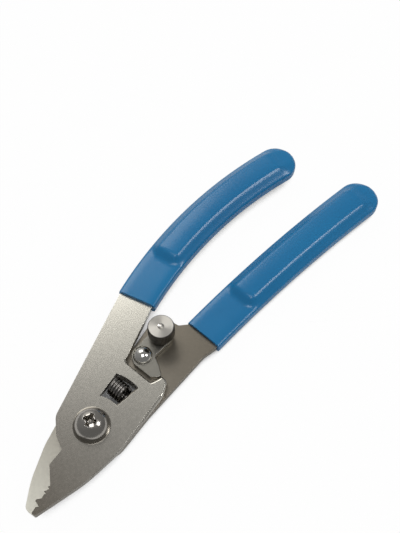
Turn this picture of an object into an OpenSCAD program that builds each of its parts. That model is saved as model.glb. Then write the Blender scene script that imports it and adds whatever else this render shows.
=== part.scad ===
// Fibre stripper: two crossed flat blades on a pivot screw, a coil spring in their
// windows, a swinging latch with a knurled knob, and dipped grips on both handles.
// Frame: origin on the pivot axis at the underside of the pivot nut, +Y towards the
// handles, +Z towards the screw head, +X to the right when seen from +Z.

/* [Blades] */
// Thickness of each blade plate
plate_t = 1.8; // [1.4:0.1:2.4]
// Gap between the two plates
plate_gap = 0.05; // [0.02:0.01:0.1]
// Distance from the pivot axis to the tip of the nose
nose_len = 26.2; // [25.4:0.2:30]
// Angle of the cutting line from -Y towards +X
nose_angle = 10.5; // [8:0.5:13]
// How far each cutting edge passes the cutting line
edge_overlap = 0.3; // [0.15:0.05:0.5]
// Radius of the front blade round the pivot
pivot_eye_r = 9.6; // [9:0.1:10.5]

/* [Pivot] */
// Diameter of the pivot screw's shank
shank_d = 5; // [4:0.1:6]
// Running clearance on the radius, at the pivot and at the latch
run_clear = 0.05; // [0.02:0.01:0.1]
// Gap under a screw or rivet head, and under the latch
face_clear = 0.05; // [0.02:0.01:0.1]
// Diameter of the pivot screw's head
head_d = 9.7; // [8.5:0.1:11]
// Height of the straight rim under the head's dome
head_rim = 1.0; // [0.6:0.1:1.4]
// Height of the dome on the head
head_dome = 3.4; // [2.8:0.1:4]
// Depth of the cross recess below the top of the dome
recess_depth = 2.0; // [1.4:0.1:2.2]
// Tip-to-tip width of the cross recess
recess_span = 4.4; // [3.6:0.1:5]
// Width of each wing of the cross recess
recess_wing = 1.0; // [0.8:0.1:1.3]
// Outside diameter of the spring washer behind the rear blade
washer_d = 9.2; // [8.4:0.1:10]
// Thickness of the spring washer
washer_t = 0.5; // [0.3:0.1:0.8]
// Width across the flats of the pivot nut
nut_af = 8; // [7.6:0.1:9]
// Thickness of the pivot nut
nut_t = 1.8; // [1.4:0.1:2.6]

/* [Handles] */
// Half of the width of the handle tangs
tang_half = 5; // [4.6:0.1:5.2]
// Length of the front handle's grip along its middle line
front_grip_len = 73.8; // [66:0.2:82]
// Length of the rear handle's grip along its middle line
rear_grip_len = 75.6; // [66:0.2:82]
// How far the tang stops short of the grip's end
tang_short = 6; // [4:0.5:9]
// Half of the grip's width at its mouth
grip_half_mouth = 5.9; // [5.7:0.1:6.3]
// Half of the grip's width at its far end
grip_half_end = 6.4; // [6:0.1:6.8]
// Thickness of the dip over the flat of the tang
dip_t = 1.1; // [0.7:0.1:1.5]
// Height of the raised ridge over the flat part of the grip
ridge_h = 2.0; // [1.2:0.1:2.8]
// Length of the flat part, from the mouth to the foot of the ridge
ridge_start = 14; // [10:0.5:18]
// Length over which the ridge rises
ridge_rise = 3.6; // [2:0.2:8]
// How far the ridge's foot sweeps back at the sides of the grip
ridge_sweep = 2; // [0:0.5:5]
// Width of the ridge's crown on each side of the middle line
crown_half = 2.4; // [1.8:0.1:3.4]
// Radius of the dip's upper corners
dip_top_r = 1.2; // [0.8:0.1:1.5]
// Radius of the dip's lower corners
dip_foot_r = 1.5; // [0.8:0.1:1.8]
// Bend radius of the front handle
front_bend_r = 137; // [125:2:150]
// Bend radius of the rear handle
rear_bend_r = 506; // [450:4:600]

/* [Spring] */
// Outside diameter of the jaw spring
spring_od = 5.4; // [4.8:0.1:5.8]
// Diameter of the spring wire
wire_d = 0.9; // [0.7:0.05:1]
// Number of turns
spring_turns = 5; // [4:0.5:6]
// Distance from the pivot axis to the spring's axis
spring_r = 12.2; // [11.9:0.1:12.4]
// Room between the coil and the inner end of its windows
window_room_in = 1.1; // [0.6:0.1:1.4]
// Room between the coil and the outer end of its windows
window_room_out = 0.9; // [0.6:0.1:1.2]
// Width of a window at its inner end
window_in_w = 5.4; // [5:0.1:6]
// Width of a window at its outer end
window_out_w = 7.6; // [7:0.1:8]

/* [Latch] */
// Distance from the pivot axis to the latch rivet, along Y
rivet_y = 23.6; // [23.4:0.1:23.8]
// Distance of the latch rivet to the left of the pivot axis
rivet_left = 3.4; // [3.2:0.1:3.6]
// Distance from the latch rivet to the knob
knob_arm = 8; // [7.6:0.1:8.6]
// Length of the strut, from the rivet to its end face
strut_len = 8.05; // [7.9:0.05:8.3]
// Gap between the strut's end face and the lobe when latched
strut_gap = 0.3; // [0.25:0.05:0.4]
// Thickness of the latch lever
latch_t = 1.6; // [1.2:0.1:1.8]
// Diameter of the rivet's shank
rivet_d = 3; // [2.4:0.1:3.4]
// Diameter of the rivet's domed head
rivet_head_d = 5.2; // [4.6:0.1:6]
// Height of the rivet's head, rim and dome together
rivet_head_h = 1.9; // [1.4:0.1:2.4]
// Diameter of the knurled knob
knob_d = 7.6; // [7:0.1:8.2]
// Height of the knob above the latch lever
knob_h = 5.7; // [5:0.1:6.5]
// Diameter of the knob's neck
neck_d = 4.6; // [4:0.1:5.4]
// Height of the knob's neck
neck_h = 1.3; // [1:0.1:1.8]
// Number of knurls round the knob
knurls = 36; // [24:1:48]
// Depth of the knurls
knurl_depth = 0.18; // [0.1:0.02:0.3]
// Diameter of the stud that holds the knob
stud_d = 2.6; // [2:0.1:3]

/* [Hidden] */
$fn = 64;

// Levels along Z, from the underside of the nut upwards
rear_z = nut_t + washer_t;
front_z = rear_z + plate_t + plate_gap;
top_z = front_z + plate_t;
latch_z = rear_z + plate_t + face_clear;
mid_z = rear_z + plate_t + plate_gap / 2;

// Windows in both plates, from the coil that they hold
window_in_r = spring_r - spring_od / 2 - window_room_in;
window_out_r = spring_r + spring_od / 2 + window_room_out;

// Places in the XY plane
rivet_at = [-rivet_left, rivet_y];
knob_at = rivet_at + [0, knob_arm];
strut_reach = strut_len + strut_gap;

// Middle lines of the handles: start, heading from +Y (left is positive), bend radius, length
front_handle = [[-16.5, 35.5], 13.8, front_bend_r, front_grip_len];
rear_handle = [[5.1, 39.8], -1.7, rear_bend_r, rear_grip_len];

// Stations on the cutting edge, each a tooth and then a notch: distance back from the nose's
// tip, run up to the tooth, tooth height, crown, run down to the notch, notch depth, run out
stations = [[7.8, 0.33, 0.6, 0, 0.3, 0.1, 0.5],
            [6.5, 0.44, 0.75, 0, 0.36, 0.17, 0.25],
            [4.2, 0.7, 1.25, 0.45, 0.75, 0.4, 0.5]];

// ---- Outline helpers ----

// A point given along the cutting line and across it (to the right is positive)
function nose_pt(along, across) =
    [along * sin(nose_angle) + across * cos(nose_angle),
     -along * cos(nose_angle) + across * sin(nose_angle)];

// A point mirrored across the cutting line, keeping its corner radius
function flipped(p) =
    let (along = p[0] * sin(nose_angle) - p[1] * cos(nose_angle),
         across = p[0] * cos(nose_angle) + p[1] * sin(nose_angle),
         q = nose_pt(along, -across))
    [q[0], q[1], p[2]];

function backwards(list) = [for (i = [len(list) - 1 : -1 : 0]) list[i]];

// An outline corner: a point and the radius that rounds it
function corner(p, r = 0) = [p[0], p[1], r];

// The points that round corner p between its neighbours a and b
function rounded_corner(a, p, b, steps) =
    p[2] <= 0 ? [[p[0], p[1]]] :
    let (at = [p[0], p[1]],
         u = ([a[0], a[1]] - at) / norm([a[0], a[1]] - at),
         v = ([b[0], b[1]] - at) / norm([b[0], b[1]] - at),
         half = acos(u * v) / 2,
         middle = at + (u + v) / norm(u + v) * p[2] / sin(half),
         from = at + u * p[2] / tan(half) - middle,
         to = at + v * p[2] / tan(half) - middle,
         start = atan2(from[1], from[0]),
         turn = (atan2(to[1], to[0]) - start + 540) % 360 - 180)
    [for (i = [0 : steps]) middle + p[2] * [cos(start + turn * i / steps), sin(start + turn * i / steps)]];

function rounded(path, steps = 6) =
    let (n = len(path))
    [for (i = [0 : n - 1]) each rounded_corner(path[(i + n - 1) % n], path[i], path[(i + 1) % n], steps)];

// Sharp points on an arc
function arc(middle, r, from, to, steps) =
    [for (i = [0 : steps]) let (a = from + (to - from) * i / steps)
        corner(middle + r * [cos(a), sin(a)])];

// The point where a straight side from p touches a circle round the pivot, on its left
function touch(p, r) =
    let (a = atan2(p[1], p[0]) + acos(r / norm(p)))
    r * [cos(a), sin(a)];

// ---- Handle middle lines ----

function heading(handle, u) = handle[1] - u / handle[2] * 180 / PI;
function handle_pt(handle, u, side = 0) =
    let (a0 = handle[1], a = heading(handle, u), r = handle[2])
    handle[0]
    + r * [cos(a0) - cos(a), sin(a0) - sin(a)]
    + side * [cos(a), sin(a)];

// One long side of a tang, from its root to its end
function tang_side(handle, side) =
    let (root = 0.5, run = handle[3] - tang_short - root, steps = 12)
    [for (i = [0 : steps]) corner(handle_pt(handle, root + run * i / steps, side * tang_half),
                                  i == steps ? 3 : 0)];

// ---- Blade outlines ----

// Cutting edge of the front blade, from the eye to the tip
function cutting_edge() = concat(
    [corner([-5.2, -7.9], 4), corner([-1.3, -9.6], 0.5), corner([-0.95, -14.4], 0.3),
     corner(nose_pt(nose_len - stations[0][0] - 0.2, -edge_overlap), 0.2)],
    [for (s = stations)
        let (start = nose_len - s[0], tooth = start + s[1], notch = tooth + s[3] + s[4])
        each [
            corner(nose_pt(start, -edge_overlap)),
            corner(nose_pt(tooth, -s[2]), 0.04),
            corner(nose_pt(tooth + s[3] + 0.1, -s[2]), 0.04),
            corner(nose_pt(notch, s[5]), 0.06),
            corner(nose_pt(notch + s[6], -edge_overlap))]],
    [corner(nose_pt(nose_len, -edge_overlap), 0.3)]);

// Lobe that the latch strut bears on, seen from the right side of the front blade
function lobe() = concat(
    [corner([8.85, 18.6], 4), corner([6.9, 22.3], 1.3)],
    arc(rivet_at, strut_reach, -8.5, -24, 5),
    [corner([3.75, 19.1], 0.4)]);

function front_outline() = concat(
    [corner(nose_pt(nose_len + 0.1, 0.8), 0.5),
     corner([9.35, -11.5], 45), corner([10.35, -1], 20)],
    lobe(),
    [corner([-5.9, 19.1], 1.8)],
    tang_side(front_handle, 1),
    backwards(tang_side(front_handle, -1)),
    [corner([-21.75, 33.9], 0.5), corner([-9.2, -4.3], 4)],
    cutting_edge());

function rear_outline() = concat(
    backwards([for (p = cutting_edge()) flipped(p)]),
    [corner([10.2, -0.8], 8), corner([9.35, 12], 15), corner([9.35, 35], 6), corner([10.3, 39.2], 0.4)],
    tang_side(rear_handle, 1),
    backwards(tang_side(rear_handle, -1)),
    [corner([-0.6, 39.7], 0.4), corner([-2.5, 37.7], 0.8), corner([-5.6, 37.3], 2.2),
     corner([-9.1, 33], 2.6), corner([-7.3, 22.5], 20), corner([-9.2, 8], 10), corner([-8.75, -3.2], 4),
     corner([-6.3, -11.3], 25), corner([-2.2, -20.2], 25), corner([1.9, -26], 1.5)]);

// Window for the spring: a tapered slot between two arcs round the pivot, whose
// spring-side wall stands at x = wall at the spring's radius
module window(wall, to_left) {
    side = to_left ? -1 : 1;
    slope = (window_out_w - window_in_w) / 2 / (window_out_r - window_in_r);
    centre = wall + side * (window_in_w / 2 + slope * (spring_r - window_in_r));
    intersection() {
        difference() {
            circle(window_out_r);
            circle(window_in_r);
        }
        polygon([[centre - window_in_w / 2, window_in_r - 1], [centre + window_in_w / 2, window_in_r - 1],
                 [centre + window_in_w / 2 + slope * (window_out_r - window_in_r + 1), window_out_r + 1],
                 [centre - window_in_w / 2 - slope * (window_out_r - window_in_r + 1), window_out_r + 1]]);
    }
}

front_wall = -4.7;
rear_wall = 0.85;

// ---- Rigid pieces ----

module front_blade() {
    color([0.62, 0.6, 0.56])
    translate([0, 0, front_z])
    linear_extrude(plate_t)
    difference() {
        polygon(rounded(front_outline()));
        circle(d = shank_d + 2 * run_clear);
        window(front_wall, false);
    }
}

module rear_blade() {
    color([0.6, 0.57, 0.52])
    translate([0, 0, rear_z])
    linear_extrude(plate_t)
    difference() {
        polygon(rounded(rear_outline()));
        circle(d = shank_d);
        translate(rivet_at)
        circle(d = rivet_d);
        window(rear_wall, true);
    }
}

// Domed cap: a straight rim with a part of a sphere on it
module domed(d, rim, dome) {
    ball = (d * d / 4 + dome * dome) / (2 * dome);
    rotate_extrude()
    intersection() {
        union() {
            square([d / 2, rim + 0.001]);
            translate([0, rim + dome - ball])
            circle(ball);
        }
        square([d / 2, rim + dome]);
    }
}

module pivot_screw() {
    color([0.66, 0.64, 0.6])
    difference() {
        union() {
            cylinder(h = top_z + face_clear, d = shank_d);
            translate([0, 0, top_z + face_clear])
            domed(head_d, head_rim, head_dome);
        }
        translate([0, 0, top_z + face_clear + head_rim + head_dome - recess_depth])
        rotate(18)
        for (turn = [0, 90])
        rotate(turn)
        translate([-recess_span / 2, -recess_wing / 2, 0])
        cube([recess_span, recess_wing, recess_depth + 1]);
    }
}

module spring_washer() {
    color([0.5, 0.5, 0.5])
    translate([0, 0, nut_t])
    difference() {
        cylinder(h = washer_t, d = washer_d);
        translate([0, 0, -1])
        cylinder(h = washer_t + 2, d = shank_d);
    }
}

module pivot_nut() {
    color([0.7, 0.69, 0.66])
    difference() {
        intersection() {
            cylinder(h = nut_t, d = nut_af / cos(30), $fn = 6);
            translate([0, 0, nut_t - nut_af])
            sphere(d = 2 * nut_af * 1.06);
        }
        translate([0, 0, -1])
        cylinder(h = nut_t + 2, d = shank_d);
    }
}

// ---- Spring ----

// A round wire along a coil whose axis is Z
module coil(od, wire, length, turns) {
    ring_n = 8;
    per_turn = 20;
    rings = turns * per_turn;
    r = (od - wire) / 2;
    points = [for (i = [0 : rings]) for (j = [0 : ring_n - 1])
        let (a = 360 * i / per_turn, b = 360 * (j + i % 2 / 2) / ring_n,
             out = r + wire / 2 * cos(b))
        [out * cos(a), out * sin(a),
         wire / 2 + (length - wire) * i / rings + wire / 2 * sin(b)]];
    sides = [for (i = [0 : rings - 1]) for (j = [0 : ring_n - 1])
        let (k = (j + 1) % ring_n, here = i * ring_n, next = here + ring_n)
        each i % 2 == 0
            ? [[here + j, here + k, next + j], [here + k, next + k, next + j]]
            : [[here + j, here + k, next + k], [here + j, next + k, next + j]]];
    ends = [[for (j = [ring_n - 1 : -1 : 0]) j], [for (j = [0 : ring_n - 1]) rings * ring_n + j]];
    polyhedron(points, concat(sides, ends), convexity = 10);
}

module jaw_spring() {
    color([0.45, 0.45, 0.45])
    translate([front_wall + 0.3, spring_r, mid_z])
    rotate([0, 90, 0])
    coil(spring_od, wire_d, rear_wall - front_wall - 0.4, spring_turns);
}

// ---- Latch ----

function latch_outline() = concat(
    arc(knob_at, 3.1, -20, 180, 10),
    arc(rivet_at, 3.1, 190, 250, 4),
    [corner(rivet_at + [-0.2, -3.45], 0.6), corner(rivet_at + [5.9, -3.45], 0.5),
     corner(rivet_at + strut_len * [cos(-14), sin(-14)] - [0.1, 0], 0),
     corner(rivet_at + strut_len * [cos(-8.5), sin(-8.5)], 0.2),
     corner(rivet_at + [5.5, 0.6], 2), corner(rivet_at + [2.75, 2], 1.2)]);

module latch_lever() {
    color([0.42, 0.41, 0.38])
    translate([0, 0, latch_z])
    linear_extrude(latch_t)
    difference() {
        polygon(rounded(latch_outline()));
        translate(rivet_at)
        circle(d = rivet_d + 2 * run_clear);
        translate(knob_at)
        circle(d = stud_d);
    }
}

module latch_rivet() {
    head_z = latch_z + latch_t + face_clear;
    color([0.72, 0.72, 0.7])
    translate(rivet_at) {
        translate([0, 0, rear_z])
        cylinder(h = head_z - rear_z, d = rivet_d);
        translate([0, 0, head_z])
        domed(rivet_head_d, 0.6, rivet_head_h - 0.6);
    }
}

module knob() {
    head_h = knob_h - neck_h;
    color([0.68, 0.67, 0.64])
    translate(concat(knob_at, latch_z + latch_t))
    difference() {
        union() {
            cylinder(h = neck_h, d = neck_d);
            translate([0, 0, neck_h])
            linear_extrude(head_h)
            circle(d = knob_d);
        }
        for (i = [0 : knurls - 1])
        rotate(360 * i / knurls)
        translate([knob_d / 2, 0, neck_h + 0.5])
        rotate(45)
        translate([-knurl_depth, -knurl_depth, 0])
        cube([2 * knurl_depth, 2 * knurl_depth, head_h - 1]);
        translate([0, 0, knob_h - 0.5])
        cylinder(h = 1, r1 = 0, r2 = 1.6);
        translate([0, 0, -1])
        cylinder(h = 1 + neck_h + 1.5, d = stud_d);
    }
}

module knob_stud() {
    color([0.6, 0.6, 0.58])
    translate(concat(knob_at, latch_z))
    cylinder(h = latch_t + neck_h + 1.4, d = stud_d);
}

// ---- Grips ----

// Rounded step from 0 to 1 over a length
function ease(t) = let (s = min(max(t, 0), 1)) s * s * (3 - 2 * s);

// Right half of the flat part's section, from the foot round to near the middle of the top
function grip_side(half) =
    let (high = plate_t / 2 + dip_t)
    concat(
        [for (a = [-90 : 22.5 : 0])
            [half - dip_foot_r + dip_foot_r * cos(a), -high + dip_foot_r + dip_foot_r * sin(a)]],
        [for (a = [0 : 22.5 : 90])
            [half - dip_top_r + dip_top_r * cos(a), high - dip_top_r + dip_top_r * sin(a)]],
        [for (part = [0.64, 0.5, 0.36, 0.15]) [half * part, high]]);

// Height of the ridge over the flat part, at a place across and along the grip
function ridge_lift(half, across, u) =
    let (foot = ridge_start + ridge_sweep * pow(across / half, 2),
         side = (abs(across) - crown_half) / (half - crown_half))
    ridge_h * ease((u - foot) / ridge_rise) * (1 - ease(side));

// One ring of the grip's skin round the handle, drawn in by squeeze at the rounded end
function grip_ring(handle, u, half, squeeze, level) =
    let (right = grip_side(half),
         section = concat(right, [for (p = backwards(right)) [-p[0], p[1]]]),
         a = heading(handle, u),
         at = handle_pt(handle, u))
    [for (p = section)
        let (top = p[1] > 0 ? p[1] + ridge_lift(half, p[0], u) : p[1])
        [at[0] + p[0] * squeeze * cos(a), at[1] + p[0] * squeeze * sin(a),
         level + top * pow(squeeze, 0.55)]];

module grip_solid(handle, level) {
    cap = grip_half_end;
    body = handle[3] - cap;
    crest = ridge_rise + ridge_sweep;
    stops = concat(
        [for (i = [0 : 3]) ridge_start * i / 3],
        [for (i = [1 : 9]) ridge_start + crest * i / 9],
        [for (i = [1 : 10]) ridge_start + crest + (body - ridge_start - crest) * i / 10]);
    rings = concat(
        [for (u = stops) grip_ring(handle, u, grip_half_mouth + (grip_half_end - grip_half_mouth) * u / body,
                                   1, level)],
        [for (i = [1 : 7]) let (a = 84 * i / 7)
            grip_ring(handle, body + cap * sin(a), grip_half_end, cos(a), level)]);
    n = len(rings[0]);
    last = len(rings) - 1;
    points = [for (ring = rings) each ring];
    sides = [for (i = [0 : last - 1]) for (j = [0 : n - 1])
        let (k = (j + 1) % n)
        [i * n + j, i * n + k, (i + 1) * n + k, (i + 1) * n + j]];
    ends = [[for (j = [n - 1 : -1 : 0]) j], [for (j = [0 : n - 1]) last * n + j]];
    polyhedron(points, concat(sides, ends), convexity = 6);
}

module front_grip() {
    color([0.05, 0.42, 0.62])
    difference() {
        grip_solid(front_handle, front_z + plate_t / 2);
        translate([0, 0, front_z])
        linear_extrude(plate_t)
        polygon(rounded(front_outline()));
    }
}

module rear_grip() {
    color([0.05, 0.42, 0.62])
    difference() {
        grip_solid(rear_handle, rear_z + plate_t / 2);
        translate([0, 0, rear_z])
        linear_extrude(plate_t)
        polygon(rounded(rear_outline()));
    }
}

front_blade();
rear_blade();
front_grip();
rear_grip();
pivot_screw();
spring_washer();
pivot_nut();
jaw_spring();
latch_lever();
latch_rivet();
knob();
knob_stud();
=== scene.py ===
"""Fibre stripper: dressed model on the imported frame.

Pieces: two blade plates, the front one with a coined edge round its notch, two dipped grips,
a cross-recess pivot screw, its washer and nut, a coil spring, and a latch lever with its rivet
and a knurled knob, which stands for the knob and its stud.
"""

import math

import bmesh
import bpy
from mathutils import Matrix, Vector


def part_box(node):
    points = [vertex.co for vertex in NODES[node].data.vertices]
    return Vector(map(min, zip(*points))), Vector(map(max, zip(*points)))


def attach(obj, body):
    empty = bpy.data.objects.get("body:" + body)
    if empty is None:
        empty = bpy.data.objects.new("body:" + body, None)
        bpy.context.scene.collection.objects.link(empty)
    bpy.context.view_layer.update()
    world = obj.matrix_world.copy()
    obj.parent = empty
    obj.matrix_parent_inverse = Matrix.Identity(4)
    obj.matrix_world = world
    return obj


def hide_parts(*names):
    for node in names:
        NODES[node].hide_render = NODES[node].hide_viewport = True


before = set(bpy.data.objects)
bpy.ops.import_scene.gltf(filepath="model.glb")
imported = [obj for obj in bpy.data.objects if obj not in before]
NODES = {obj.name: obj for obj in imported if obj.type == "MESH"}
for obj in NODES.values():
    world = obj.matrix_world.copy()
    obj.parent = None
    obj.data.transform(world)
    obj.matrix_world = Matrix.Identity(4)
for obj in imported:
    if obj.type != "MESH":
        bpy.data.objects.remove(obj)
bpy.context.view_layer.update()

MM = 0.001
PLATE_LOW, PLATE_HIGH = (corner.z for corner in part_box("front_blade"))
REAR_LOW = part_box("rear_blade")[0].z
PLATE_T = PLATE_HIGH - PLATE_LOW

CLEAR = 0.05 * MM      # running clearance under a head
LEVEL = 0.01 * MM      # the most a level edge may rise
WELD = 0.0005 * MM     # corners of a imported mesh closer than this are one
JOIN = 0.001 * MM      # corners of a new mesh closer than this are one
SHARP_FROM = -9 * MM   # the cutting edges lie beyond this and stay sharp


def middle(node):
    """Centre of a node's box."""
    low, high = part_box(node)
    return (low + high) / 2


# ---------------------------------------------------------------- mesh helpers

def finish_piece(name, work, body, material, replaced, smooth=35, flat_first=True):
    """Turn a finished bmesh into an object that rides on its body."""
    mesh = bpy.data.meshes.new(name)
    bmesh.ops.recalc_face_normals(work, faces=work.faces)
    work.to_mesh(mesh)
    work.free()
    mesh.shade_smooth()
    mesh.set_sharp_from_angle(angle=math.radians(smooth))
    piece = bpy.data.objects.new(name, mesh)
    bpy.context.scene.collection.objects.link(piece)
    mesh.materials.append(material)
    if flat_first:
        facing = piece.modifiers.new("flat_faces_first", "WEIGHTED_NORMAL")
        facing.keep_sharp = True
        facing.weight = 100
    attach(piece, body)
    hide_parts(*replaced)
    return piece


def welded_copy(node):
    """A bmesh of a CAD node with its corners joined."""
    work = bmesh.new()
    work.from_mesh(NODES[node].data)
    bmesh.ops.remove_doubles(work, verts=work.verts, dist=WELD)
    return work


def merged_copy(node):
    """A bmesh of a CAD node with its loose triangles joined into flat faces."""
    work = welded_copy(node)
    bmesh.ops.dissolve_limit(work, angle_limit=math.radians(0.5), verts=work.verts, edges=work.edges)
    return work


def bevel_edges(work, edges, width, segments=2):
    """Round a set of edges."""
    if edges:
        bmesh.ops.bevel(work, geom=edges, offset=width, offset_type="OFFSET", affect="EDGES",
                        segments=segments, profile=0.5, material=-1, clamp_overlap=False)


def is_level(edge):
    return abs(edge.verts[0].co.z - edge.verts[1].co.z) < LEVEL


def sharp_edges(work, least=50):
    """Edges that fold by more than an angle."""
    return [e for e in work.edges if e.is_manifold and e.calc_face_angle(0) > math.radians(least)]


def spun(profile, centre, steps=96):
    """A round bmesh from (radius, height) points, lowest first, about a vertical axis."""
    work = bmesh.new()
    verts = [work.verts.new((centre.x + r, centre.y, z)) for r, z in profile]
    edges = [work.edges.new(pair) for pair in zip(verts, verts[1:])]
    bmesh.ops.spin(work, geom=verts + edges, cent=centre, axis=(0, 0, 1), angle=math.tau,
                   steps=steps, use_merge=True)
    bmesh.ops.remove_doubles(work, verts=work.verts, dist=JOIN)
    return work


def arc_profile(centre_z, radius, start, end, steps):
    """Profile points on an arc centred on the axis, angles in degrees from outwards."""
    turns = [math.radians(start + (end - start) * i / steps) for i in range(steps + 1)]
    return [(radius * math.cos(a), centre_z + radius * math.sin(a)) for a in turns]


def dome_profile(radius, base_z, height, steps=14):
    """Profile of a ball whose cap has this radius and height over base_z.

    The arc starts as far under the ball's middle as the cap's rim stands over it.
    """
    ball = (radius ** 2 + height ** 2) / (2 * height)
    start = -math.degrees(math.asin((ball - height) / ball))
    points = arc_profile(base_z + height - ball, ball, start, 90, steps)
    return points[:-1] + [(0, base_z + height)]


# ---------------------------------------------------------------- materials

NOSE_Y = -26 * MM
TANG_Y = 36 * MM
PIT_DEPTH = 0.03 * MM
RING_DEPTH = 0.02 * MM
PEEL_DEPTH = 0.1 * MM
RINGS_PER_PITCH = 0.3


class Shader:
    """A node material with one Principled shader and a few shortcuts."""

    def __init__(self, name, colour, metallic, roughness, **sockets):
        self.material = bpy.data.materials.new(name)
        self.material.use_nodes = True
        self.tree = self.material.node_tree
        self.main = self.tree.nodes["Principled BSDF"]
        self.main.inputs["Base Color"].default_value = (*colour, 1)
        self.main.inputs["Metallic"].default_value = metallic
        self.main.inputs["Roughness"].default_value = roughness
        for socket, value in sockets.items():
            self.main.inputs[socket.replace("_", " ")].default_value = value
        self.place = self.add("ShaderNodeTexCoord").outputs["Object"]

    def add(self, kind, **settings):
        node = self.tree.nodes.new(kind)
        for key, value in settings.items():
            setattr(node, key, value)
        return node

    def link(self, out, socket):
        self.tree.links.new(out, socket)

    def mapped(self, scale, centre=(0, 0, 0)):
        """Object coordinates moved to a centre and scaled."""
        moved = self.add("ShaderNodeMapping", vector_type="POINT")
        moved.inputs["Location"].default_value = [-c for c in centre]
        self.link(self.place, moved.inputs["Vector"])
        scaled = self.add("ShaderNodeMapping", vector_type="POINT")
        scaled.inputs["Scale"].default_value = scale
        self.link(moved.outputs["Vector"], scaled.inputs["Vector"])
        return scaled.outputs["Vector"]

    def noise(self, vector, scale, detail=3.0, roughness=0.5):
        texture = self.add("ShaderNodeTexNoise")
        texture.inputs["Scale"].default_value = scale
        texture.inputs["Detail"].default_value = detail
        texture.inputs["Roughness"].default_value = roughness
        self.link(vector, texture.inputs["Vector"])
        return texture.outputs["Fac"]

    def ramp(self, fac, stops):
        """Colour ramp from (position, grey or colour) stops."""
        ramp = self.add("ShaderNodeValToRGB")
        elements = ramp.color_ramp.elements
        while len(elements) < len(stops):
            elements.new(0.5)
        for element, (position, value) in zip(elements, stops):
            colour = value if isinstance(value, tuple) else (value, value, value)
            element.position = position
            element.color = (*colour, 1)
        self.link(fac, ramp.inputs["Fac"])
        return ramp.outputs["Color"]

    def bump(self, height, strength, distance):
        bump = self.add("ShaderNodeBump")
        bump.inputs["Strength"].default_value = strength
        bump.inputs["Distance"].default_value = distance
        self.link(height, bump.inputs["Height"])
        self.link(bump.outputs["Normal"], self.main.inputs["Normal"])


def plate_steel(name, dark, light, roughness, speck, nose_tone_and_reflection):
    """Satin plate: fine grain, small specks, and a tone that changes from the nose to the tang, partly
    the steel's own tone and partly painted reflection.
    """
    s = Shader(name, light, 1.0, roughness)
    grain = s.noise(s.mapped((1, 1, 1)), 1400, 4, 0.6)
    along = s.add("ShaderNodeSeparateXYZ")
    s.link(s.place, along.inputs["Vector"])
    reach = s.add("ShaderNodeMapRange")
    reach.inputs["From Min"].default_value = NOSE_Y
    reach.inputs["From Max"].default_value = TANG_Y
    s.link(along.outputs["Y"], reach.inputs["Value"])
    # Painted reflection: this ramp from nose to tang stands in for the studio's reflection sliding
    # along the plate, laid over the steel's own tone.
    tone_and_painted_reflection = s.ramp(reach.outputs["Result"], [(0.0, nose_tone_and_reflection), (0.45, dark), (1.0, light)])
    spread = s.ramp(grain, [(0.3, 0.94), (0.7, 1.0)])
    mixed = s.add("ShaderNodeMix", data_type="RGBA", blend_type="MULTIPLY")
    mixed.inputs["Factor"].default_value = 1.0
    s.link(tone_and_painted_reflection, mixed.inputs["A"])
    s.link(spread, mixed.inputs["B"])
    s.link(mixed.outputs["Result"], s.main.inputs["Base Color"])
    rough = s.ramp(grain, [(0.25, roughness - 0.02), (0.75, roughness + 0.02)])
    s.link(rough, s.main.inputs["Roughness"])
    pits = s.noise(s.mapped((1, 1, 1)), 2600, 2, 0.7)
    s.bump(pits, speck, PIT_DEPTH)
    return s.material


def turned_steel(name, colour, roughness, centre, ring_pitch, strength):
    """Lathe-turned steel: fine rings round an upright axis."""
    s = Shader(name, colour, 1.0, roughness, Anisotropic=0.75)
    flat = s.mapped((1, 1, 0), centre)
    rings = s.add("ShaderNodeTexWave", wave_type="RINGS", rings_direction="SPHERICAL")
    rings.inputs["Scale"].default_value = RINGS_PER_PITCH / ring_pitch
    rings.inputs["Distortion"].default_value = 0.4
    s.link(flat, rings.inputs["Vector"])
    s.bump(rings.outputs["Fac"], strength, RING_DEPTH)
    tangent = s.add("ShaderNodeTangent", direction_type="RADIAL", axis="Z")
    s.link(tangent.outputs["Tangent"], s.main.inputs["Tangent"])
    return s.material


def bright_steel(name, colour, roughness, mottling=0.06):
    """Plain bright steel with a faint uneven shine."""
    s = Shader(name, colour, 1.0, roughness)
    cloud = s.noise(s.mapped((1, 1, 1)), 500, 3, 0.5)
    rough = s.ramp(cloud, [(0.3, max(roughness - mottling, 0.05)), (0.7, roughness + mottling)])
    s.link(rough, s.main.inputs["Roughness"])
    return s.material


def dipped_vinyl(name, colour, deep):
    """Thick glossy dip: a soft colour drift and a slightly orange-peeled skin."""
    s = Shader(name, colour, 0.0, 0.26)
    s.main.inputs["Specular IOR Level"].default_value = 0.4
    s.main.inputs["Coat Weight"].default_value = 0.12
    s.main.inputs["Coat Roughness"].default_value = 0.15
    drift = s.noise(s.mapped((1, 1, 1)), 60, 2, 0.5)
    tint = s.ramp(drift, [(0.25, deep), (0.75, colour)])
    s.link(tint, s.main.inputs["Base Color"])
    peel = s.noise(s.mapped((1, 1, 1)), 450, 2, 0.5)
    s.bump(peel, 0.012, PEEL_DEPTH)
    return s.material


# ---------------------------------------------------------------- blades

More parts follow.
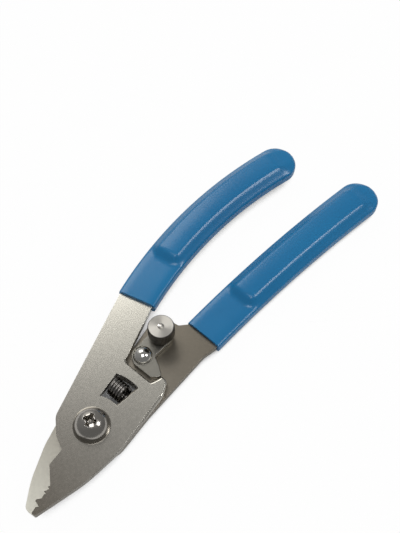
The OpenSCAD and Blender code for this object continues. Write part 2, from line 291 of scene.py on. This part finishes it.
def halved_plate(node, cut_x):
    """A bmesh of a plate in two flat-faced halves, split on a line that meets every hole."""
    work = welded_copy(node)
    everything = list(work.verts) + list(work.edges) + list(work.faces)
    bmesh.ops.bisect_plane(work, geom=everything, dist=0.0002 * MM,
                           plane_co=(cut_x, 0, 0), plane_no=(1, 0, 0))
    for facing in (1, -1):
        for side in (1, -1):
            flat = [f for f in work.faces if f.normal.z * facing > 0.9
                    and (f.calc_center_median().x - cut_x) * side > 0]
            bmesh.ops.dissolve_faces(work, faces=flat)
    # Triangle diagonals of the walls, which would spoil the rounding of their rims
    slanted = [e for e in work.edges if e.is_manifold and e.calc_face_angle(math.pi) < math.radians(0.3)
               and all(abs(f.normal.z) < 0.1 for f in e.link_faces)
               and abs(e.verts[0].co.z - e.verts[1].co.z) > 0.1 * MM
               and (e.verts[0].co.xy - e.verts[1].co.xy).length > WELD]
    bmesh.ops.dissolve_edges(work, edges=slanted, use_verts=False)
    return work


def rim_edges(work):
    """Sharp level edges, where the flat faces meet the walls, with their middles."""
    return [(e, (e.verts[0].co + e.verts[1].co) / 2) for e in sharp_edges(work, 40) if is_level(e)]


def plate_with_edges(node, cut_x, is_coined):
    """A plate with a wide coined top edge where is_coined says, and a fine rounding on the rest."""
    work = halved_plate(node, cut_x)
    top = max(v.co.z for v in work.verts)

    def wide(at):
        return at.z > top - LEVEL and is_coined(at)

    bevel_edges(work, [e for e, at in rim_edges(work) if wide(at)], 0.7 * MM, 5)
    bevel_edges(work, [e for e, at in rim_edges(work) if at.y > SHARP_FROM and not wide(at)], 0.12 * MM)
    return work


def on_notch_edge(at):
    """The front blade's edge from beside the latch rivet, under the strut and over the lobe."""
    return 17.5 * MM < at.y < 26 * MM and at.x > -9 * MM


def make_blades():
    # The nose-to-tang tones are partly painted reflection: the front plate is painted brighter towards
    # its tang, and the rear plate's tip is painted bright cream.
    front_skin = plate_steel("front_plate_steel", (0.44, 0.42, 0.38), (0.70, 0.68, 0.61), 0.27, 0.03,
                             (0.24, 0.215, 0.18))
    rear_skin = plate_steel("rear_plate_steel", (0.30, 0.275, 0.235), (0.24, 0.215, 0.175), 0.34, 0.1,
                            (0.90, 0.88, 0.78))
    front = plate_with_edges("front_blade", -1.4 * MM, on_notch_edge)
    finish_piece("front_blade_plate", front, "front", front_skin, ["front_blade"])
    rear = plate_with_edges("rear_blade", -2.2 * MM, lambda at: False)
    finish_piece("rear_blade_plate", rear, "rear", rear_skin, ["rear_blade"])


# ---------------------------------------------------------------- grips

class Handle:
    """Middle line of a handle: start, heading from +Y (left is positive), bend radius and length."""

    def __init__(self, start, heading, bend, length):
        self.start = Vector((*start, 0)) * MM
        self.heading = math.radians(heading)
        self.bend = bend * MM
        self.length = length * MM

    def turn(self, u):
        return self.heading - u / self.bend

    def point(self, u, side=0.0):
        a0, a = self.heading, self.turn(u)
        x = self.bend * (math.cos(a0) - math.cos(a)) + side * math.cos(a)
        y = self.bend * (math.sin(a0) - math.sin(a)) + side * math.sin(a)
        return self.start + Vector((x, y, 0))


FRONT_HANDLE = Handle((-16.5, 35.5), 13.8, 137, 73.8)
REAR_HANDLE = Handle((5.1, 39.8), -1.7, 506, 75.6)

GRIP_MOUTH = 5.9 * MM     # half width at the mouth
GRIP_END = 6.4 * MM       # half width at the end, and the end's rounding
DIP_T = 1.1 * MM
RIDGE_H = 2.0 * MM
RIDGE_START = 14 * MM
RIDGE_RISE = 3.6 * MM
RIDGE_SWEEP = 2.0 * MM
RIDGE_FADE = 9 * MM       # from the end, where the ridge starts to sink
FADE_RUN = 5 * MM
FADE_SHARE = 0.6
CROWN_HALF = 2.4 * MM
SECTION_POWER = 0.36      # under 1 squares the section off
CAP_POWER = 0.55          # how full the end stays in height
END_CROWDING = 1.35       # packs the rows towards the end
ROUND = 72                # corners round the section
ROWS = 150
LIP_STEPS = (-0.06 * MM, -0.01 * MM, 0.1 * MM, 0.6 * MM)
LIP_IN = 0.297 * MM
LIP_DOWN = 0.363 * MM


def ease(t):
    t = min(max(t, 0.0), 1.0)
    return t * t * (3 - 2 * t)


def grip_surface(handle, level, u, turn):
    """A point of the grip's skin: u along the handle, turn round the section from its right side."""
    body = handle.length - GRIP_END
    half = GRIP_MOUTH + (GRIP_END - GRIP_MOUTH) * min(u, body) / body
    squeeze = 1.0
    if u > body:
        squeeze = math.sqrt(max(1 - ((u - body) / GRIP_END) ** 2, 0.0))
    c = math.cos(turn)
    s = math.sin(turn)
    x = half * math.copysign(abs(c) ** SECTION_POWER, c)
    up = math.copysign(abs(s) ** SECTION_POWER, s)
    z = (PLATE_T / 2 + DIP_T) * up
    if s > 0:
        lift = ease((u - RIDGE_START - RIDGE_SWEEP * (x / half) ** 2) / RIDGE_RISE)
        lift *= 1 - FADE_SHARE * ease((u - handle.length + RIDGE_FADE) / FADE_RUN)
        fall = ease((abs(x) - CROWN_HALF) / (half - CROWN_HALF))
        z += RIDGE_H * lift * (1 - fall) * up
    flat = handle.point(u, x * squeeze)
    return Vector((flat.x, flat.y, level + z * squeeze ** CAP_POWER))


def row_place(handle, t):
    """How far along the handle a row lies, for t from 0 at the mouth to 1 at the end."""
    if t > 0.5:
        u = handle.length * (1 - (1 - t) ** END_CROWDING)
    else:
        u = handle.length * t * (1 - 0.5 ** END_CROWDING) / 0.5
    return min(u, handle.length - 0.002 * MM)


def grip_skin(handle, level):
    """A flat grid rolled into the grip's skin, open at the mouth."""
    work = bmesh.new()
    bmesh.ops.create_grid(work, x_segments=ROUND, y_segments=ROWS, size=1.0)
    for v in work.verts:
        column = round((v.co.x + 1) / 2 * ROUND) % ROUND
        row = round((v.co.y + 1) / 2 * ROWS)
        v.co = grip_surface(handle, level, row_place(handle, row / ROWS), math.tau * column / ROUND)
    bmesh.ops.remove_doubles(work, verts=work.verts, dist=0.01 * JOIN)
    rims = [e for e in work.edges if e.is_boundary]
    start = handle.point(0)
    mouth = [e for e in rims if (e.verts[0].co - start).length < handle.length / 2]
    bmesh.ops.contextual_create(work, geom=[e for e in rims if e not in mouth])
    return work, mouth


def grip_with_pocket(handle, level):
    """Skin, rolled lip and the start of the pocket that the tang fills."""
    work, mouth = grip_skin(handle, level)
    centre = handle.point(0)
    heading = Vector((-math.sin(handle.heading), math.cos(handle.heading), 0))
    across = Vector((math.cos(handle.heading), math.sin(handle.heading), 0))
    for step in LIP_STEPS:
        ring = bmesh.ops.extrude_edge_only(work, edges=mouth)["geom"]
        mouth = [g for g in ring if isinstance(g, bmesh.types.BMEdge)]
        for v in ring:
            if not isinstance(v, bmesh.types.BMVert):
                continue
            side = (v.co - centre).dot(across)
            along = (v.co - centre).dot(heading) + step
            rise = v.co.z - level
            side -= math.copysign(min(abs(side), LIP_IN), side)
            rise -= math.copysign(min(abs(rise), LIP_DOWN), rise)
            v.co = centre + across * side + heading * along + Vector((0, 0, level + rise))
    bmesh.ops.contextual_create(work, geom=mouth)
    return work


def make_grips():
    blue = dipped_vinyl("blue_dip", (0.012, 0.19, 0.42), (0.009, 0.165, 0.38))
    for name, handle, node, body, low in (
            ("front_handle_grip", FRONT_HANDLE, "front_grip", "front", PLATE_LOW),
            ("rear_handle_grip", REAR_HANDLE, "rear_grip", "rear", REAR_LOW)):
        work = grip_with_pocket(handle, low + PLATE_T / 2)
        finish_piece(name, work, body, blue, [node], smooth=50)


# ---------------------------------------------------------------- pivot

def make_pivot():
    """Screw with its cross recess, nut and washer."""
    low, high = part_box("pivot_screw")
    axis = middle("pivot_screw")
    radius = (high.x - low.x) / 2
    seat = PLATE_HIGH + CLEAR
    rim = 0.9 * MM
    shank = 2.5 * MM
    profile = [(0, low.z), (shank - 0.3 * MM, low.z), (shank, low.z + 0.3 * MM), (shank, seat),
               (radius - 0.25 * MM, seat), (radius, seat + 0.2 * MM), (radius, seat + rim)]
    profile += dome_profile(radius, seat + rim, high.z - seat - rim)[1:]
    work = spun(profile, axis, 128)
    screw_skin = bright_steel("screw_steel", (0.42, 0.40, 0.37), 0.16)
    screw = finish_piece("pivot_cross_screw", work, "rear", screw_skin, ["pivot_screw"])
    cut_cross(screw, axis, high.z)

    nut = merged_copy("pivot_nut")
    bevel_edges(nut, sharp_edges(nut), 0.15 * MM)
    finish_piece("pivot_hex_nut", nut, "rear", screw_skin, ["pivot_nut"])
    washer = merged_copy("spring_washer")
    bevel_edges(washer, sharp_edges(washer), 0.1 * MM)
    finish_piece("pivot_spring_washer", washer, "rear",
                 bright_steel("washer_steel", (0.3, 0.3, 0.29), 0.3), ["spring_washer"])


def cut_cross(screw, axis, top):
    """Sink a tapered cross recess into the top of the screw."""
    span = 2.3 * MM
    wing = 0.55 * MM
    depth = 2.0 * MM
    cutter = bmesh.new()
    for turn in (18, 108):
        made = bmesh.ops.create_cube(cutter, size=1.0)["verts"]
        for v in made:
            deep = v.co.z < 0
            v.co.x *= 2 * span * (0.35 if deep else 1.0)
            v.co.y *= 2 * wing * (0.75 if deep else 1.0)
            v.co.z = -depth if deep else 0.6 * MM
        bmesh.ops.rotate(cutter, verts=made, cent=(0, 0, 0),
                         matrix=Matrix.Rotation(math.radians(turn), 3, "Z"))
    bmesh.ops.translate(cutter, verts=cutter.verts, vec=(axis.x, axis.y, top))
    mesh = bpy.data.meshes.new("cross_cutter")
    cutter.to_mesh(mesh)
    cutter.free()
    tool = bpy.data.objects.new("cross_cutter", mesh)
    bpy.context.scene.collection.objects.link(tool)
    cut = screw.modifiers.new("cross", "BOOLEAN")
    cut.object = tool
    cut.operation = "DIFFERENCE"
    cut.solver = "EXACT"
    cut.use_self = True
    graph = bpy.context.evaluated_depsgraph_get()
    result = bpy.data.meshes.new_from_object(screw.evaluated_get(graph))
    screw.modifiers.remove(cut)
    screw.data = result
    bpy.data.objects.remove(tool)
    result.set_sharp_from_angle(angle=math.radians(35))


# ---------------------------------------------------------------- spring

def make_spring():
    """A round wire along a coil whose axis is X."""
    low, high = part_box("jaw_spring")
    wire = 0.45 * MM
    coil_r = (high.z - low.z) / 2 - wire
    axis_y = (low.y + high.y) / 2
    axis_z = (low.z + high.z) / 2
    turns = 5
    curve = bpy.data.curves.new("spring_wire", "CURVE")
    curve.dimensions = "3D"
    curve.bevel_depth = wire
    curve.bevel_resolution = 6
    curve.use_fill_caps = True
    count = turns * 40 + 1
    line = curve.splines.new("POLY")
    line.points.add(count - 1)
    span = high.x - low.x - 2 * wire
    for i, point in enumerate(line.points):
        t = i / (count - 1)
        a = math.tau * turns * t
        x = low.x + wire + span * t
        point.co = (x, axis_y + coil_r * math.cos(a), axis_z + coil_r * math.sin(a), 1)
    maker = bpy.data.objects.new("spring_wire", curve)
    bpy.context.scene.collection.objects.link(maker)
    graph = bpy.context.evaluated_depsgraph_get()
    mesh = bpy.data.meshes.new_from_object(maker.evaluated_get(graph))
    bpy.data.objects.remove(maker)
    work = bmesh.new()
    work.from_mesh(mesh)
    bmesh.ops.remove_doubles(work, verts=work.verts, dist=JOIN)
    finish_piece("jaw_coil_spring", work, "rear",
                 bright_steel("spring_wire_steel", (0.2, 0.19, 0.18), 0.2), ["jaw_spring"])


# ---------------------------------------------------------------- latch

def make_latch():
    """Lever, rivet and knob."""
    lever = merged_copy("latch_lever")
    bevel_edges(lever, [e for e in sharp_edges(lever) if is_level(e)], 0.15 * MM)
    finish_piece("latch_lever_plate", lever, "latch",
                 plate_steel("latch_plate_steel", (0.26, 0.25, 0.22), (0.30, 0.29, 0.26), 0.34, 0.3,
                             (0.3, 0.28, 0.25)), ["latch_lever"])

    low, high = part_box("latch_rivet")
    axis = middle("latch_rivet")
    radius = (high.x - low.x) / 2
    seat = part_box("latch_lever")[1].z + CLEAR
    shank = 1.5 * MM
    profile = [(0, low.z), (shank, low.z), (shank, seat), (radius - 0.1 * MM, seat),
               (radius, seat + 0.1 * MM), (radius, seat + 0.55 * MM)]
    profile += dome_profile(radius - 0.25 * MM, seat + 0.7 * MM, high.z - seat - 0.7 * MM)
    rivet = spun(profile, axis, 96)
    finish_piece("latch_pivot_rivet", rivet, "rear",
                 bright_steel("rivet_steel", (0.62, 0.61, 0.58), 0.16), ["latch_rivet"])
    make_knob()


def make_knob():
    """Turned head on a neck, dimpled on top and knurled round its side."""
    low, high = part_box("knob")
    axis = middle("knob")
    radius = (high.x - low.x) / 2
    neck_r = 2.3 * MM
    head = low.z + 1.3 * MM
    chamfer = 0.25 * MM
    steps = 54 * 4
    dimple = high.z - 0.5 * MM
    work = spun([(0, low.z), (neck_r, low.z), (neck_r, head), (radius - 0.5 * MM, head),
                 (radius, head + 0.45 * MM), (radius, high.z - 2.2 * chamfer),
                 (radius - 0.12 * MM, high.z - chamfer), (radius - chamfer - 0.1 * MM, high.z),
                 (0.95 * MM, high.z), (0.75 * MM, high.z - 0.12 * MM), (0.05 * MM, dimple),
                 (0, dimple)], axis, steps)
    for v in work.verts:
        arm = v.co.xy - axis.xy
        place = round(math.atan2(arm.y, arm.x) / math.tau * steps)
        if abs(arm.length - radius) < JOIN and place % 4 in (0, 1):
            v.co.xy = axis.xy + arm * (1 - 0.2 * MM / arm.length)
    skin = turned_steel("knob_steel", (0.55, 0.53, 0.49), 0.3, (axis.x, axis.y, 0), 0.12 * MM, 0.08)
    knob = finish_piece("knurled_knob", work, "latch", skin, ["knob", "knob_stud"],
                        smooth=30, flat_first=False)
    # Painted shade: the knob's side faces get a much darker copy of its steel, standing in for the
    # shade on its knurled side.
    knob.data.materials.append(bright_steel("knurl_steel_painted_shade", (0.10, 0.095, 0.085), 0.34))
    for face in knob.data.polygons:
        if abs(face.normal.z) < 0.7 and face.center.z > head:
            face.material_index = 1


# ---------------------------------------------------------------- surroundings

def make_floor():
    """A pale floor that shows white to the camera, with a painted shadow that is dark where the part
    closes over it.
    """
    work = bmesh.new()
    bmesh.ops.create_grid(work, x_segments=1, y_segments=1, size=3)
    bmesh.ops.translate(work, verts=work.verts, vec=(0, 0.04, -0.01 * MM))
    mesh = bpy.data.meshes.new("floor")
    work.to_mesh(mesh)
    work.free()
    floor = bpy.data.objects.new("floor", mesh)
    bpy.context.scene.collection.objects.link(floor)
    s = Shader("floor_white", (0.9, 0.9, 0.9), 0.0, 0.9)
    path = s.add("ShaderNodeLightPath")
    glow = s.add("ShaderNodeEmission")
    glow.inputs["Strength"].default_value = 1.0
    share = s.add("ShaderNodeMath", operation="MULTIPLY")
    share.inputs[1].default_value = 0.97
    s.link(path.outputs["Is Camera Ray"], share.inputs[0])
    mixed = s.add("ShaderNodeMixShader")
    s.link(share.outputs["Value"], mixed.inputs["Fac"])
    s.link(s.main.outputs["BSDF"], mixed.inputs[1])
    s.link(glow.outputs["Emission"], mixed.inputs[2])
    s.link(mixed.outputs["Shader"], s.tree.nodes["Material Output"].inputs["Surface"])
    # Painted shadow: ambient occlusion darkens the floor's glow under and beside the part.
    shade = s.add("ShaderNodeAmbientOcclusion", samples=8)
    shade.inputs["Distance"].default_value = 8 * MM
    s.link(s.ramp(shade.outputs["AO"], [(0.2, 0.02), (0.5, 1.0)]), glow.inputs["Color"])
    mesh.materials.append(s.material)


def make_world():
    """White for the camera, and a studio that is brighter over the left shoulder for the rest."""
    world = bpy.data.worlds.new("studio")
    bpy.context.scene.world = world
    world.use_nodes = True
    tree = world.node_tree
    tree.nodes.clear()
    out = tree.nodes.new("ShaderNodeOutputWorld")
    white = tree.nodes.new("ShaderNodeBackground")
    white.inputs["Color"].default_value = (1, 1, 1, 1)
    studio = tree.nodes.new("ShaderNodeBackground")
    place = tree.nodes.new("ShaderNodeTexCoord")
    facing = tree.nodes.new("ShaderNodeVectorMath")
    facing.operation = "DOT_PRODUCT"
    facing.inputs[1].default_value = Vector((-0.75, 0.35, 0.56)).normalized()
    ramp = tree.nodes.new("ShaderNodeValToRGB")
    ramp.color_ramp.elements[0].position = 0.0
    ramp.color_ramp.elements[0].color = (0.22, 0.22, 0.22, 1)
    ramp.color_ramp.elements[1].position = 1.0
    ramp.color_ramp.elements[1].color = (1.0, 0.99, 0.96, 1)
    for position, grey in ((0.5, 0.28), (0.8, 0.3), (0.9, 0.5)):
        ramp.color_ramp.elements.new(position).color = (grey, grey, grey, 1)
    tree.links.new(place.outputs["Generated"], facing.inputs[0])
    tree.links.new(facing.outputs["Value"], ramp.inputs["Fac"])
    tree.links.new(ramp.outputs["Color"], studio.inputs["Color"])
    path = tree.nodes.new("ShaderNodeLightPath")
    mixed = tree.nodes.new("ShaderNodeMixShader")
    tree.links.new(path.outputs["Is Camera Ray"], mixed.inputs["Fac"])
    tree.links.new(studio.outputs["Background"], mixed.inputs[1])
    tree.links.new(white.outputs["Background"], mixed.inputs[2])
    tree.links.new(mixed.outputs["Shader"], out.inputs["Surface"])


def soft_lamp(name, place, target, size, power, colour=(1, 1, 1)):
    """An area lamp turned towards a target."""
    lamp = bpy.data.lights.new(name, "AREA")
    lamp.shape = "RECTANGLE"
    lamp.size, lamp.size_y = size
    lamp.energy = power
    lamp.color = colour
    holder = bpy.data.objects.new(name, lamp)
    holder.location = place
    holder.rotation_euler = (Vector(target) - Vector(place)).to_track_quat("-Z", "Y").to_euler()
    bpy.context.scene.collection.objects.link(holder)


def make_lights():
    target = (0, 0.04, 0)
    soft_lamp("left_box", (-0.56, 0.30, 0.6), (-0.3, 0.2, 0), (0.45, 0.4), 1.5, (1, 0.985, 0.95))
    soft_lamp("right_box", (0.45, 0.38, 0.6), target, (0.22, 0.22), 1.3)
    soft_lamp("top_box", (0.15, -0.1, 0.9), target, (0.4, 0.4), 2.0)


def make_camera():
    """Looks down at the tool from beyond the nose, on the right."""
    camera = bpy.data.cameras.new("camera")
    camera.lens = 50
    camera.sensor_width = 36
    holder = bpy.data.objects.new("camera", camera)
    holder.location = Vector((65.4, -33.6, 193.2)) * MM
    holder.rotation_euler = (math.radians(32), 0, math.radians(40))
    bpy.context.scene.collection.objects.link(holder)
    bpy.context.scene.camera = holder
    bpy.context.scene.view_settings.view_transform = "Standard"


make_camera()
make_blades()
make_grips()
make_pivot()
make_spring()
make_latch()
make_floor()
make_world()
make_lights()
